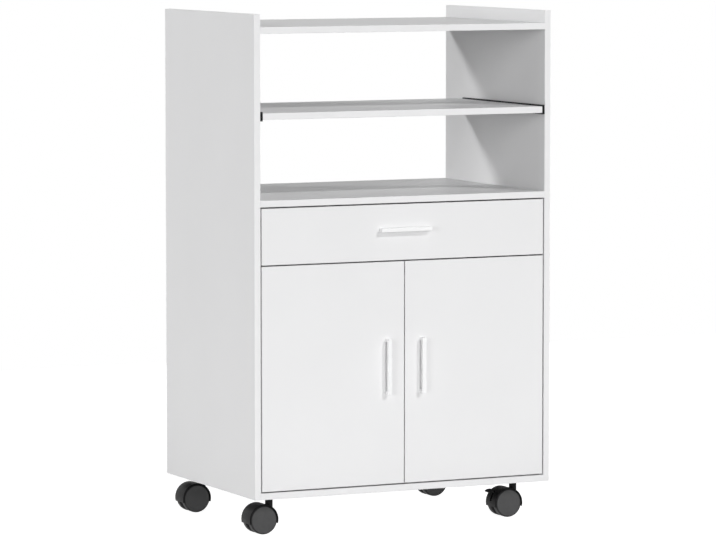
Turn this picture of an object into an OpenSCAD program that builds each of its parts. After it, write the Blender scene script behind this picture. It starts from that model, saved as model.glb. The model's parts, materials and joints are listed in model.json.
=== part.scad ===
// Kitchen microwave cart on four swivel casters: two open bays with a pull-out
// shelf between them, a drawer, and a cupboard with two doors.
// Millimetres. +X is the right side seen from the front, the front faces -Y,
// and the floor is at Z = 0.

/* [Cabinet] */
// Width over the two side panels
cart_w = 600; // [540:5:760]
// Depth of the side panels, front to back
cart_d = 405; // [400:5:500]
// Thickness of the carcass boards
board_t = 12; // [12:1:18]
// Height of a cupboard door
door_h = 407.5; // [380:0.5:560]
// Height of the drawer front
drawer_front_h = 102; // [98:1:160]
// Clear height of the open bay under the pull-out shelf
lower_bay_h = 145; // [120:1:260]
// Clear height of the open bay over the pull-out shelf
upper_bay_h = 142; // [120:1:260]
// Height of the side panels above the top
rim_h = 23; // [12:1:60]
// Thickness of the doors and the drawer front
front_t = 12; // [12:1:18]
// Gap round the doors and the drawer front
front_gap = 2.5; // [2:0.5:4]
// Gap between the two doors
door_split = 2; // [1.5:0.5:4]
// Thickness of the back panel
back_t = 3; // [3:0.5:6]
// Distance of the back panel from the back edges
back_in = 12; // [8:1:20]
// Depth of the grooves that hold the back panel and the drawer bottom
groove_d = 5; // [3:0.5:6]

/* [Pull-out shelf] */
// Depth of the pull-out shelf
pullout_d = 345; // [330:5:390]
// Room on each side of the pull-out shelf for its runner
pullout_side = 5; // [4.5:0.5:10]
// Height of a pull-out shelf runner
pullout_rail_h = 17; // [16:1:24]
// Length of a pull-out shelf runner
pullout_rail_l = 325; // [300:5:330]

/* [Drawer] */
// Length of the drawer box behind its front, and of its runners
drawer_l = 350; // [300:5:370]
// Least room between the drawer box and the back panel
drawer_behind = 20; // [15:1:40]
// Height of the drawer box
drawer_side_h = 80; // [76:1:84]
// Thickness of the drawer sides and back
drawer_side_t = 12; // [12:1:15]
// Height of the drawer box above the lower edge of its front
drawer_lift = 7.5; // [5:0.5:12]
// Thickness of the drawer bottom
drawer_bottom_t = 3; // [3:0.5:5]
// Height of the drawer bottom above the lower edge of the drawer sides
drawer_bottom_up = 8; // [6:1:10]
// Room on each side of the drawer box for its runner
drawer_room = 12.5; // [10:0.5:16]
// Height of a drawer runner
drawer_rail_h = 36; // [30:1:38]
// Height of the runner's middle above the lower edge of the drawer sides
drawer_rail_up = 20; // [20:1:22]

/* [Runners] */
// Sheet thickness of the runners
rail_t = 1.2; // [1.2:0.1:1.6]
// Thickness of the stop that closes the back of a fixed runner
rail_stop = 2; // [1.5:0.5:4]
// Running clearance between a fixed and a sliding runner
run_gap = 0.3; // [0.2:0.1:0.6]
// Distance of the end screws from the ends of a runner
rail_screw_in = 40; // [30:5:60]

/* [Handles] */
// Length of a bar handle
handle_l = 102; // [80:1:200]
// Width of the handle bar
handle_w = 7.5; // [7:0.5:14]
// Thickness of the handle bar, front to back
handle_bar_t = 6; // [4:0.5:8]
// Reach of the handle in front of the door
handle_reach = 12; // [11:0.5:32]
// Length of each handle leg along the bar
handle_leg = 6; // [6:0.5:12]
// Distance of a door handle's middle from the door's free edge
door_handle_in = 34; // [20:1:60]
// Height of a door handle's middle above the door's lower edge
door_handle_up = 216; // [150:1:260]
// Height of the drawer handle's middle above the drawer front's lower edge
drawer_handle_up = 56; // [40:1:60]
// Diameter of the handle screws
handle_screw_d = 4; // [3:0.5:4.5]

/* [Hinges] */
// Distance of a hinge's middle from the top or bottom edge of the door
hinge_in = 75; // [60:5:100]
// Diameter of the hinge cup
cup_d = 26; // [26:0.5:28]
// Width of the wood left between the cup and the door edge
cup_edge = 3; // [2:0.5:3]
// Thickness of the wood left in front of the cup
cup_skin = 2.5; // [2:0.5:3]
// Distance of the hinge pin from the door edge
pin_in = 10; // [9:0.5:11]
// Diameter of the hinge pin
pin_d = 2.4; // [2:0.1:2.6]
// Width of the hinge arm along its pin
neck_h = 9.5; // [8:0.5:10]
// Thickness of the hinge arm
neck_t = 2.2; // [1.8:0.1:2.4]
// Thickness of the plate that carries the hinge arm
hinge_plate_t = 2; // [2:0.5:3]

/* [Casters] */
// Height of the carcass above the floor
caster_h = 68; // [67:1:90]
// Distance of each swivel axis from the sides, the front and the back
caster_in = 50; // [46:1:80]
// Distance of the wheel axle behind the swivel axis
caster_trail = 18; // [17:0.5:20]
// Diameter of a caster wheel
wheel_d = 53; // [51:1:54]
// Width of a caster wheel
wheel_w = 13; // [12:0.5:16]
// Width of the hood's middle wall between the wheels
core_w = 12; // [12:0.5:16]
// Gap between a wheel and the hood
wheel_gap = 0.7; // [0.5:0.1:0.8]
// Thickness of the hood over the wheels
hood_t = 1.3; // [1:0.1:2]
// Height of the hood's lower rim below the axle
hood_drop = 7; // [3:0.5:10]
// Diameter of the hood's neck
neck_d = 14; // [13:0.5:16]
// Diameter of the swivel pin
kingpin_d = 8; // [7:0.5:8]
// Length of the swivel pin below its plate
kingpin_l = 24; // [18:1:26]
// Length of the swivel pin that shows between its plate and the hood
kingpin_bare = 4; // [2:0.5:5]
// Diameter of the wheel axle
axle_d = 6; // [5:0.5:7]
// Width of the square caster plate
plate_w = 38; // [36:1:44]
// Thickness of the caster plate
plate_t = 2.5; // [2:0.5:3]
// Diameter of the wheel hub, which the brake presses
hub_d = 22; // [18:1:24]
// Angle that the brake pedal swings through
brake_swing = 14; // [10:1:16]
// Reach of the brake pedal behind the axle
pedal_reach = 38; // [37:0.5:42]
// Height of the brake pedal's top above the axle
pedal_up = 26; // [25.5:0.5:27]
// Width of the brake pedal
pedal_w = 12; // [10:1:20]

/* [Fixings] */
// Diameter of a cam lock
cam_d = 15; // [14:0.5:15]
// Distance of the cam locks from the front and back edges
cam_in = 100; // [90:5:120]
// Distance from a board's end to the middle of its cam lock
cam_reach = 24; // [22:1:30]
// Thickness of the wood left behind a cam lock
cam_skin = 3; // [2:0.5:4]
// Diameter of a cam bolt
bolt_d = 5; // [4:0.5:6]
// Diameter of a cam bolt's head, and of the hole it passes through
bolt_head_d = 7; // [6.5:0.5:8]
// Diameter of a wooden dowel
dowel_d = 6; // [5:0.5:8]
// Distance of the dowels from the front and back edges
dowel_in = 140; // [130:5:180]
// Length of a dowel inside the shelf board
dowel_reach = 20; // [16:1:26]
// Wood left behind a dowel, bolt or screw that enters a board's face
face_skin = 3.5; // [2.5:0.5:5]
// Shank diameter of the runner and hinge screws
screw_d = 3; // [2.5:0.5:3.5]
// Head diameter of the runner and hinge screws
screw_head_d = 6; // [5.5:0.5:7]
// Length of the screws that enter a board's edge
edge_screw_l = 16; // [12:1:25]

/* [Hidden] */
$fn = 48;
left = -1;
right = 1;
fit = 0.1;
pivot_fit = 0.08;
press = 0.02;
cut = 1;
csk_h = 1.2;
arc_steps = 6;
round_fn = 96;

white_board = [0.93, 0.93, 0.93];
dark_runner = [0.12, 0.12, 0.13];
steel = [0.75, 0.76, 0.78];
satin = [0.88, 0.88, 0.89];
beech = [0.80, 0.66, 0.47];
black_plastic = [0.10, 0.10, 0.11];
grey_plastic = [0.28, 0.28, 0.29];

// Faces of the carcass
half_in = cart_w / 2 - board_t;
case_d = max(cart_d, front_t + drawer_l + drawer_behind + back_t + back_in);
front_y = (handle_reach - case_d) / 2;
back_y = front_y + case_d;
back_panel_y = back_y - back_in - back_t;

// Undersides of what is stacked from the floor up
bottom_z = caster_h;
door_z = bottom_z + board_t + front_gap;
drawer_z = door_z + door_h + front_gap;
shelf_z = drawer_z + drawer_front_h + front_gap;
pullout_z = shelf_z + board_t + lower_bay_h;
top_z = pullout_z + board_t + upper_bay_h;
rim_z = top_z + board_t + rim_h;
fixed_board_zs = [bottom_z, shelf_z, top_z];

// Cam locks and dowels
cam_slot_l = 8;
cam_slot_w = 1.2;
cam_slot_h = 1.5;
bolt_head_l = 5;
bolt_head_in = 3;
bolt_head_gap = 0.3;
cam_ys = [front_y + cam_in, back_y - cam_in];
dowel_ys = [front_y + dowel_in, back_y - dowel_in];
face_hole = board_t - face_skin;

// Pull-out shelf
pullout_half = half_in - pullout_side;
pullout_mid_z = pullout_z + board_t / 2;
pullout_screw_ys = [front_y + rail_screw_in, front_y + pullout_rail_l / 2,
    front_y + pullout_rail_l - rail_screw_in];
pullout_slide_t = pullout_side - rail_t - run_gap;
pullout_slide_h = pullout_rail_h - 2 * rail_t - 2 * run_gap;
pullout_slide_l = pullout_rail_l - rail_stop - run_gap;

// Drawer
drawer_front_half = half_in - front_gap;
drawer_out = half_in - drawer_room;
drawer_in = drawer_out - drawer_side_t;
box_z = drawer_z + drawer_lift;
box_y = front_y + front_t;
box_end_y = box_y + drawer_l;
drawer_bottom_z = box_z + drawer_bottom_up;
drawer_rail_z = box_z + drawer_rail_up;
drawer_rail_in = 2;
drawer_rail_y = box_y + drawer_rail_in;
drawer_screw_ys = [drawer_rail_y + rail_screw_in, drawer_rail_y + drawer_l - rail_screw_in];
drawer_slide_reach = drawer_room - rail_t - run_gap;
drawer_slide_h = drawer_rail_h - 2 * rail_t - 2 * run_gap;
drawer_slide_l = drawer_l + drawer_rail_in - rail_stop - run_gap;
drawer_cam_up = 30;
drawer_cam_down = 20;
drawer_cam_zs = [box_z + drawer_cam_up, box_z + drawer_side_h - drawer_cam_down];
drawer_back_screw_downs = [32, 11];
drawer_handle_z = drawer_z + drawer_handle_up;

// Doors and hinges
door_out = half_in - front_gap;
door_handle_x = door_split / 2 + door_handle_in;
door_handle_z = door_z + door_handle_up;
hinge_zs = [door_z + hinge_in, door_z + door_h - hinge_in];
pin_x = -door_out + pin_in;
pin_y = front_y + front_t / 2;
cup_x = -door_out + cup_edge + cup_d / 2;
cup_wall = 0.7;
cup_floor_y = front_y + cup_skin + cup_wall;
cup_wing_t = 1;
cup_wing_h = 20;
cup_wing_w = 12;
cup_screw_z = 16.5;
arm_gap = 0.5;
pocket_h = neck_h + 2 * arm_gap;
eye_wall = 1.2;
eye_r = pin_d / 2 + eye_wall;
pin_l = 18;
door_face = front_t / 2;
neck_gap = 1.3;
neck_x = door_face + neck_gap;
sweep_gap = 0.65;
sweep_r = norm([pin_in, door_face]) + sweep_gap;
neck_turn = acos(neck_x / sweep_r);
neck_sink = 0.4;
neck_off = 1;
neck_root = [eye_r - neck_sink, neck_off];
arm_t = 7;
arm_l = 36;
arm_w = 12;
arm_wall = 1.5;
hinge_plate_w = 14;
hinge_wing_h = 22;
hinge_wing_w = 14;
hinge_screw_z = 16;
arm_y = pin_y + sweep_r;
hinge_wing_y = arm_y + arm_l / 2;

// Handle screws
handle_hole_x = (handle_l - handle_leg) / 2;
handle_screw_in = 8;
handle_head_d = 7;
handle_head_h = 2.2;

// Casters
front_left = [-cart_w / 2 + caster_in, front_y + caster_in];
front_right = [cart_w / 2 - caster_in, front_y + caster_in];
rear_left = [-cart_w / 2 + caster_in, back_y - caster_in];
rear_right = [cart_w / 2 - caster_in, back_y - caster_in];
caster_spots = [front_left, front_right, rear_left, rear_right];
wheel_r = wheel_d / 2;
cavity_r = wheel_r + wheel_gap;
hood_r = cavity_r + hood_t;
wheel_in_y = core_w / 2 + wheel_gap;
wheel_out_y = wheel_in_y + wheel_w;
plate_z = caster_h - plate_t;
swivel_gap = 0.5;
kingpin_z = plate_z - kingpin_l;
axle_cap = 2;
rim_t = 6;
rim_bevel = 0.5;
disc_t = 3;
edge_round = 1.5;
boss_wall = 6;
boss_r = axle_d / 2 + boss_wall;
plate_hole_in = 6;
caster_screw_d = 4;
caster_screw_head_d = 7.5;
caster_screw_head_h = 2;
caster_screw_skin = 2;
caster_screw_l = board_t - caster_screw_skin;

// Brake: the lever turns about a pivot inside the hood's middle wall, and its
// cross bar swings in against the hubs of both wheels.
lever_w = 5;
lever_t = 4;
lever_r = 3;
lever_gap = 0.5;
shoe_r = 1.5;
shoe_wall = 0.6;
shoe_gap = 0.12;
shoe_l = core_w + 2 * wheel_gap + wheel_w;
brake_pin_r = 1.5;
brake_pin_in = 0.7;
brake_pivot_in = 6.5;
brake_pivot_a = 135;
shoe_a = 160;
brake_pivot = polar(wheel_r - brake_pivot_in, brake_pivot_a);
shoe_on = polar(hub_d / 2 + shoe_gap + shoe_r, shoe_a);
shoe_off = brake_pivot + turned(shoe_on - brake_pivot, -brake_swing);
shoe_mid = (shoe_on + shoe_off) / 2;
slot_ease = 1;
slot_down = 12;
slot_up = 17;
slot_a = 90;
pedal_t = 3.4;
pedal_bend_r = 14;
pedal_root_a = 70;
pedal_tip_a = 123;
pedal_bend = [-pedal_reach + pedal_t / 2, pedal_up - pedal_t / 2] - pedal_bend_r * [cos(pedal_tip_a), 1];
pedal_root = pedal_bend + polar(pedal_bend_r, pedal_root_a);

function polar(r, a) = [r * cos(a), r * sin(a)];
function turned(p, a) = [p.x * cos(a) - p.y * sin(a), p.x * sin(a) + p.y * cos(a)];

// A box from one corner to the opposite one
module block(from, to) {
    translate(from) cube(to - from);
}

// A straight bar of width w from point p to point q
module link(p, q, w) {
    side = turned(q - p, 90) / norm(q - p) * w / 2;
    polygon([p + side, q + side, q - side, p - side]);
}

// What is drawn for the left side is mirrored for the right side
module on_side(side) {
    if (side == left) children();
    else mirror([1, 0, 0]) children();
}

module both_sides() {
    children();
    mirror([1, 0, 0]) children();
}

// A round bar along X, Y or Z, from its first end
module bar_x(d, l) {
    rotate([0, 90, 0]) cylinder(d = d, h = l);
}

module bar_y(d, l) {
    rotate([-90, 0, 0]) cylinder(d = d, h = l);
}

// A flat shape in X and Z, made l wide along Y and centred on it
module across_y(l) {
    rotate([90, 0, 0]) linear_extrude(l, center = true) children();
}

// Countersunk screw along X: the flat of its head is at X = 0, its tip at X = -l
module flat_screw(l, grow = 0) {
    rotate([0, -90, 0]) {
        cylinder(h = csk_h, r1 = screw_head_d / 2 + grow, r2 = screw_d / 2 + grow);
        cylinder(h = l + grow, d = screw_d + 2 * grow);
        if (grow > 0) translate([0, 0, -cut]) cylinder(h = cut, r = screw_head_d / 2 + grow);
    }
}

// Cam lock, its bolt and their holes. The joint is at X = 0, the board lies
// along +X with its middle at Z = 0, and the cam goes in from below.
module cam_lock(t) {
    difference() {
        translate([cam_reach, 0, -t / 2]) cylinder(d = cam_d, h = t - cam_skin);
        bar_x(bolt_head_d + 2 * fit, cam_reach + bolt_head_d / 2);
        for (turn = [0, 90]) translate([cam_reach, 0, -t / 2]) rotate([0, 0, turn])
            block([-cam_slot_l / 2, -cam_slot_w / 2, -cut], [cam_slot_l / 2, cam_slot_w / 2, cam_slot_h]);
    }
}

module cam_bolt(into) {
    translate([-into, 0, 0]) bar_x(bolt_d, into + cam_reach - bolt_head_in + cut);
    translate([cam_reach - bolt_head_in, 0, 0]) bar_x(bolt_head_d - 2 * bolt_head_gap, bolt_head_l);
}

module cam_holes(t) {
    translate([cam_reach, 0, -t / 2 - cut]) cylinder(d = cam_d + 2 * fit, h = t - cam_skin + cut);
    translate([-cut, 0, 0]) bar_x(bolt_head_d + 2 * fit, cam_reach + bolt_head_d / 2 + cut);
}

module bolt_hole(into) {
    translate([-into - fit, 0, 0]) bar_x(bolt_d + 2 * fit, into + fit + cut);
}

// Channel that opens towards +X, with its back at X = 0, running along +Y
module channel(w, h, l) {
    translate([0, l / 2, 0]) across_y(l) polygon([
        [0, -h / 2], [w, -h / 2], [w, -h / 2 + rail_t], [rail_t, -h / 2 + rail_t],
        [rail_t, h / 2 - rail_t], [w, h / 2 - rail_t], [w, h / 2], [0, h / 2]
    ]);
}

// ---- Carcass ----

module at_board_ends(z) {
    both_sides() translate([-half_in, 0, z + board_t / 2]) children();
}

module each_cam_y() {
    for (y = cam_ys) translate([0, y, 0]) children();
}

module each_dowel_y() {
    for (y = dowel_ys) translate([0, y, 0]) children();
}

module carcass_screw_spots() {
    for (y = pullout_screw_ys) translate([-half_in + rail_t, y, pullout_mid_z]) children();
    for (y = drawer_screw_ys) translate([-half_in + rail_t, y, drawer_rail_z]) children();
    for (z = hinge_zs, dz = [-hinge_screw_z, hinge_screw_z])
        translate([-half_in + hinge_plate_t, hinge_wing_y, z + dz]) children();
}

module side_panel(side) {
    color(white_board) on_side(side) difference() {
        block([-cart_w / 2, front_y, bottom_z], [-half_in, back_y, rim_z]);
        block([-half_in - groove_d, back_panel_y - fit, bottom_z + board_t - groove_d],
            [-half_in + cut, back_panel_y + back_t + fit, shelf_z + groove_d]);
        for (z = fixed_board_zs) translate([-half_in, 0, z + board_t / 2]) {
            each_cam_y() bolt_hole(face_hole);
            each_dowel_y() translate([-face_hole - fit, 0, 0])
                bar_x(dowel_d + 2 * fit, face_hole + fit + cut);
        }
        carcass_screw_spots() flat_screw(face_hole, fit);
    }
}

module fixed_board(z, groove_z) {
    color(white_board) difference() {
        block([-half_in, front_y, z], [half_in, back_y, z + board_t]);
        at_board_ends(z) {
            each_cam_y() cam_holes(board_t);
            each_dowel_y() translate([-cut, 0, 0])
                bar_x(dowel_d + 2 * fit, dowel_reach + fit + cut);
        }
        if (groove_z > 0)
            block([-half_in - cut, back_panel_y - fit, groove_z - groove_d],
                [half_in + cut, back_panel_y + back_t + fit, groove_z + groove_d]);
    }
}

module bottom_panel() {
    difference() {
        fixed_board(bottom_z, bottom_z + board_t);
        caster_screw_holes();
    }
}

module fixed_shelf() {
    fixed_board(shelf_z, shelf_z);
}

module top_panel() {
    fixed_board(top_z, 0);
}

module back_panel() {
    reach = groove_d - 3 * fit;
    color(white_board)
        block([-half_in - reach, back_panel_y, bottom_z + board_t - reach],
            [half_in + reach, back_panel_y + back_t, shelf_z + reach]);
}

module cam_locks() {
    color(steel) for (z = fixed_board_zs) at_board_ends(z) each_cam_y() cam_lock(board_t);
}

module cam_bolts() {
    color(steel) for (z = fixed_board_zs) at_board_ends(z) each_cam_y() cam_bolt(face_hole);
}

module wood_dowels() {
    color(beech) for (z = fixed_board_zs) at_board_ends(z) each_dowel_y()
        translate([-face_hole, 0, 0]) bar_x(dowel_d, face_hole + dowel_reach);
}

module carcass_screws() {
    color(steel) both_sides() carcass_screw_spots() flat_screw(face_hole);
}

// ---- Runners ----

// Fixed runner on a side panel: a channel with a stop at its back end
module fixed_rail(w, h, l, y, z) {
    translate([-half_in, y, z]) {
        channel(w, h, l);
        block([0, l - rail_stop, -h / 2], [w, l, h / 2]);
    }
}

module shelf_rail(side) {
    color(dark_runner) on_side(side) difference() {
        fixed_rail(pullout_side - run_gap, pullout_rail_h, pullout_rail_l, front_y, pullout_mid_z);
        carcass_screw_spots() flat_screw(face_hole, fit);
    }
}

module drawer_rail(side) {
    color(steel) on_side(side) difference() {
        fixed_rail(drawer_slide_reach, drawer_rail_h, drawer_l, drawer_rail_y, drawer_rail_z);
        carcass_screw_spots() flat_screw(face_hole, fit);
    }
}

module shelf_slide_screw_spots() {
    for (y = pullout_screw_ys)
        translate([-pullout_half - pullout_slide_t, y, pullout_mid_z]) mirror([1, 0, 0]) children();
}

module shelf_slide(side) {
    color(dark_runner) on_side(side) difference() {
        block([-pullout_half - pullout_slide_t, front_y, pullout_mid_z - pullout_slide_h / 2],
            [-pullout_half, front_y + pullout_slide_l, pullout_mid_z + pullout_slide_h / 2]);
        shelf_slide_screw_spots() flat_screw(edge_screw_l, fit);
    }
}

module shelf_slide_screws() {
    color(steel) both_sides() shelf_slide_screw_spots() flat_screw(edge_screw_l);
}

module pullout_shelf() {
    color(white_board) difference() {
        block([-pullout_half, front_y, pullout_z],
            [pullout_half, front_y + pullout_d, pullout_z + board_t]);
        both_sides() shelf_slide_screw_spots() flat_screw(edge_screw_l, fit);
    }
}

// ---- Drawer ----

module drawer_slide_screw_spots() {
    for (y = drawer_screw_ys)
        translate([-drawer_out - rail_t, y, drawer_rail_z]) mirror([1, 0, 0]) children();
}

module drawer_back_screw_spots() {
    for (down = drawer_back_screw_downs)
        translate([-drawer_out, box_end_y - drawer_side_t / 2, box_z + drawer_side_h - down])
            mirror([1, 0, 0]) children();
}

module drawer_cam_spots() {
    for (z = drawer_cam_zs)
        translate([-drawer_out + drawer_side_t / 2, box_y, z]) rotate([-90, 0, 90]) children();
}

module drawer_slide(side) {
    color(steel) on_side(side) difference() {
        translate([-drawer_out, box_y, drawer_rail_z]) mirror([1, 0, 0])
            channel(drawer_slide_reach, drawer_slide_h, drawer_slide_l);
        drawer_slide_screw_spots() flat_screw(face_hole, fit);
    }
}

module drawer_bottom_slot() {
    block([-drawer_in - groove_d, box_y - groove_d, drawer_bottom_z - fit],
        [drawer_in + groove_d, box_end_y + cut, drawer_bottom_z + drawer_bottom_t + fit]);
}

module drawer_side(side) {
    color(white_board) on_side(side) difference() {
        block([-drawer_out, box_y, box_z], [-drawer_in, box_end_y, box_z + drawer_side_h]);
        drawer_bottom_slot();
        drawer_cam_spots() cam_holes(drawer_side_t);
        drawer_slide_screw_spots() flat_screw(face_hole, fit);
        drawer_back_screw_spots() flat_screw(drawer_side_t + edge_screw_l, fit);
    }
}

module drawer_back() {
    color(white_board) difference() {
        block([-drawer_in, box_end_y - drawer_side_t, drawer_bottom_z + drawer_bottom_t + fit],
            [drawer_in, box_end_y, box_z + drawer_side_h]);
        both_sides() drawer_back_screw_spots() flat_screw(drawer_side_t + edge_screw_l, fit);
    }
}

module drawer_bottom() {
    reach = groove_d - 3 * fit;
    color(white_board)
        block([-drawer_in - reach, box_y - reach, drawer_bottom_z],
            [drawer_in + reach, box_end_y, drawer_bottom_z + drawer_bottom_t]);
}

module drawer_front() {
    color(white_board) difference() {
        block([-drawer_front_half, front_y, drawer_z],
            [drawer_front_half, front_y + front_t, drawer_z + drawer_front_h]);
        drawer_bottom_slot();
        both_sides() drawer_cam_spots() bolt_hole(front_t - face_skin);
        at_drawer_handle() handle_holes();
    }
}

module drawer_cams() {
    color(steel) both_sides() drawer_cam_spots() {
        cam_lock(drawer_side_t);
        cam_bolt(front_t - face_skin);
    }
}

module drawer_screws() {
    color(steel) {
        both_sides() {
            drawer_slide_screw_spots() flat_screw(face_hole);
            drawer_back_screw_spots() flat_screw(drawer_side_t + edge_screw_l);
        }
        at_drawer_handle() handle_screws();
    }
}

// ---- Handles ----

// Bar handle along X, with the face it is screwed to at Y = 0
module handle() {
    difference() {
        union() {
            block([-handle_l / 2, -handle_reach, -handle_w / 2],
                [handle_l / 2, handle_bar_t - handle_reach, handle_w / 2]);
            both_sides() block([-handle_l / 2, -handle_reach, -handle_w / 2],
                [handle_leg - handle_l / 2, 0, handle_w / 2]);
        }
        both_sides() translate([handle_hole_x, -handle_screw_in - fit, 0])
            bar_y(handle_screw_d + 2 * fit, handle_screw_in + fit + cut);
    }
}

module handle_holes() {
    both_sides() translate([handle_hole_x, -cut, 0])
        bar_y(handle_screw_d + 2 * fit, front_t + 2 * cut);
}

module handle_screws() {
    both_sides() translate([handle_hole_x, 0, 0]) {
        translate([0, -handle_screw_in, 0]) bar_y(handle_screw_d, handle_screw_in + front_t);
        translate([0, front_t, 0]) bar_y(handle_head_d, handle_head_h);
    }
}

module at_drawer_handle() {
    translate([0, front_y, drawer_handle_z]) children();
}

module at_door_handle() {
    translate([-door_handle_x, front_y, door_handle_z]) rotate([0, 90, 0]) children();
}

module drawer_handle() {
    color(satin) at_drawer_handle() handle();
}

module door_handle(side) {
    color(satin) on_side(side) at_door_handle() handle();
}

// ---- Doors and hinges ----

module each_hinge() {
    for (z = hinge_zs) translate([0, 0, z]) children();
}

module cup_screw_spots() {
    for (z = [-cup_screw_z, cup_screw_z])
        translate([cup_x, front_y + front_t + cup_wing_t, z]) rotate([0, 0, 90]) children();
}

module door(side) {
    color(white_board) on_side(side) difference() {
        block([-door_out, front_y, door_z], [-door_split / 2, front_y + front_t, door_z + door_h]);
        each_hinge() {
            translate([cup_x, front_y + cup_skin, 0]) bar_y(cup_d + 2 * fit, front_t);
            cup_screw_spots() flat_screw(front_t - face_skin, fit);
        }
        at_door_handle() handle_holes();
    }
}

// Cup sunk into the door, with two screwed wings and a pocket for the hinge arm
module hinge_cups(side) {
    cup_h = front_t - cup_skin;
    color(steel) on_side(side) each_hinge() difference() {
        union() {
            translate([cup_x, front_y + cup_skin, 0]) bar_y(cup_d, cup_h);
            for (s = [0, 1]) mirror([0, 0, s])
                block([cup_x - cup_wing_w / 2, front_y + front_t, pocket_h / 2],
                    [cup_x + cup_wing_w / 2, front_y + front_t + cup_wing_t, cup_wing_h]);
        }
        intersection() {
            block([cup_x - cup_d, cup_floor_y, -pocket_h / 2],
                [cup_x + cup_d, front_y + front_t + cut, pocket_h / 2]);
            translate([cup_x, front_y, 0]) bar_y(cup_d - 2 * cup_wall, front_t + 2 * cut);
        }
        translate([pin_x, pin_y, -cup_d / 2]) cylinder(d = pin_d + 2 * press, h = cup_d);
        cup_screw_spots() flat_screw(front_t - face_skin, fit);
    }
}

module hinge_pins(side) {
    color(steel) on_side(side) each_hinge()
        translate([pin_x, pin_y, -pin_l / 2]) cylinder(d = pin_d, h = pin_l);
}

module door_screws(side) {
    color(steel) on_side(side) {
        each_hinge() cup_screw_spots() flat_screw(front_t - face_skin);
        at_door_handle() handle_screws();
    }
}

// Hooked arm: it leaves the pin inside the cup, clears the edge of the open
// door and turns back to the side panel.
module arm_outline() {
    outer_r = sweep_r + neck_t;
    outer_turn = acos((neck_x + neck_t) / outer_r);
    plate_x = hinge_plate_t - half_in - pin_x;
    polygon(concat(
        [neck_root, [neck_x, neck_t + neck_root.y]],
        [for (i = [0:arc_steps]) polar(sweep_r, neck_turn + (90 - neck_turn) * i / arc_steps)],
        [[plate_x, sweep_r], [plate_x, outer_r]],
        [for (i = [0:arc_steps]) polar(outer_r, 90 - (90 - outer_turn) * i / arc_steps)],
        [[neck_x + neck_t, neck_root.y], [neck_root.x, -neck_root.y]]
    ));
}

module hinge_arms() {
    arm_x = -half_in + hinge_plate_t;
    color(steel) both_sides() each_hinge() difference() {
        union() {
            translate([pin_x, pin_y, -neck_h / 2]) {
                cylinder(r = eye_r, h = neck_h);
                linear_extrude(neck_h) arm_outline();
            }
            block([arm_x, arm_y, -arm_w / 2], [arm_x + arm_t, arm_y + arm_l, arm_w / 2]);
        }
        translate([pin_x, pin_y, -neck_h]) cylinder(d = pin_d + 2 * pivot_fit, h = 2 * neck_h);
        block([arm_x - cut, arm_y + neck_t, arm_wall - arm_w / 2],
            [arm_x + arm_t - arm_wall, arm_y + arm_l + cut, arm_w / 2 - arm_wall]);
    }
}

module hinge_plates() {
    rib = arm_wall + arm_gap;
    color(steel) both_sides() each_hinge() difference() {
        union() {
            block([-half_in, arm_y, -hinge_plate_w / 2],
                [-half_in + hinge_plate_t, arm_y + arm_l, hinge_plate_w / 2]);
            block([-half_in, hinge_wing_y - hinge_wing_w / 2, -hinge_wing_h],
                [-half_in + hinge_plate_t, hinge_wing_y + hinge_wing_w / 2, hinge_wing_h]);
            block([-half_in, arm_y + neck_t + arm_gap, rib - arm_w / 2],
                [-half_in + hinge_plate_t + arm_t - rib, arm_y + arm_l - arm_gap, arm_w / 2 - rib]);
        }
        for (z = [-hinge_screw_z, hinge_screw_z])
            translate([-half_in + hinge_plate_t, hinge_wing_y, z]) flat_screw(face_hole, fit);
    }
}

// ---- Casters ----

module at_casters() {
    for (p = caster_spots) translate([p.x, p.y, 0]) children();
}

// Caster pieces are drawn round the axle, which lies behind the swivel axis
module at_axle(spot) {
    translate([spot.x - caster_trail, spot.y, wheel_r]) children();
}

module plate_corners() {
    reach = plate_w / 2 - plate_hole_in;
    for (x = [-reach, reach], y = [-reach, reach]) translate([x, y, plate_z]) children();
}

// Each plate carries its swivel pin in a press fit
module caster_plates() {
    color(steel) at_casters() {
        difference() {
            translate([-plate_w / 2, -plate_w / 2, plate_z]) cube([plate_w, plate_w, plate_t]);
            plate_corners() translate([0, 0, -cut])
                cylinder(d = caster_screw_d + 2 * fit, h = plate_t + 2 * cut);
            translate([0, 0, plate_z - cut])
                cylinder(d = kingpin_d + 2 * press, h = plate_t + 2 * cut);
        }
        translate([0, 0, kingpin_z]) cylinder(d = kingpin_d, h = kingpin_l + plate_t);
    }
}

module caster_screws() {
    color(steel) at_casters() plate_corners() {
        cylinder(d = caster_screw_d, h = plate_t + caster_screw_l);
        translate([0, 0, -caster_screw_head_h])
            cylinder(d = caster_screw_head_d, h = caster_screw_head_h);
    }
}

module caster_screw_holes() {
    at_casters() plate_corners() translate([0, 0, -cut])
        cylinder(d = caster_screw_d + 2 * fit, h = plate_t + caster_screw_l + fit + cut);
}

// Twin-wheel hood: a middle wall, a thin shell over both wheels and a neck
module caster_hood(spot, braked) {
    color(black_plastic) at_axle(spot) difference() {
        union() {
            difference() {
                across_y(2 * wheel_out_y) circle(hood_r, $fn = round_fn);
                across_y(2 * wheel_out_y + cut) translate([-hood_r - cut, -hood_r - cut])
                    square([2 * hood_r + 2 * cut, hood_r + cut - hood_drop]);
            }
            across_y(core_w) circle(boss_r);
            translate([caster_trail, 0, 0])
                cylinder(d = neck_d, h = plate_z - kingpin_bare - wheel_r);
        }
        for (s = [0, 1]) mirror([0, s, 0]) translate([0, core_w / 2, 0])
            bar_y(2 * cavity_r, wheel_w + 2 * wheel_gap + cut, $fn = round_fn);
        translate([caster_trail, 0, kingpin_z - wheel_r - swivel_gap])
            cylinder(d = kingpin_d + 2 * pivot_fit, h = caster_h);
        across_y(core_w + cut) circle(d = axle_d + 2 * press);
        if (braked) brake_slot();
    }
}

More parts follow.
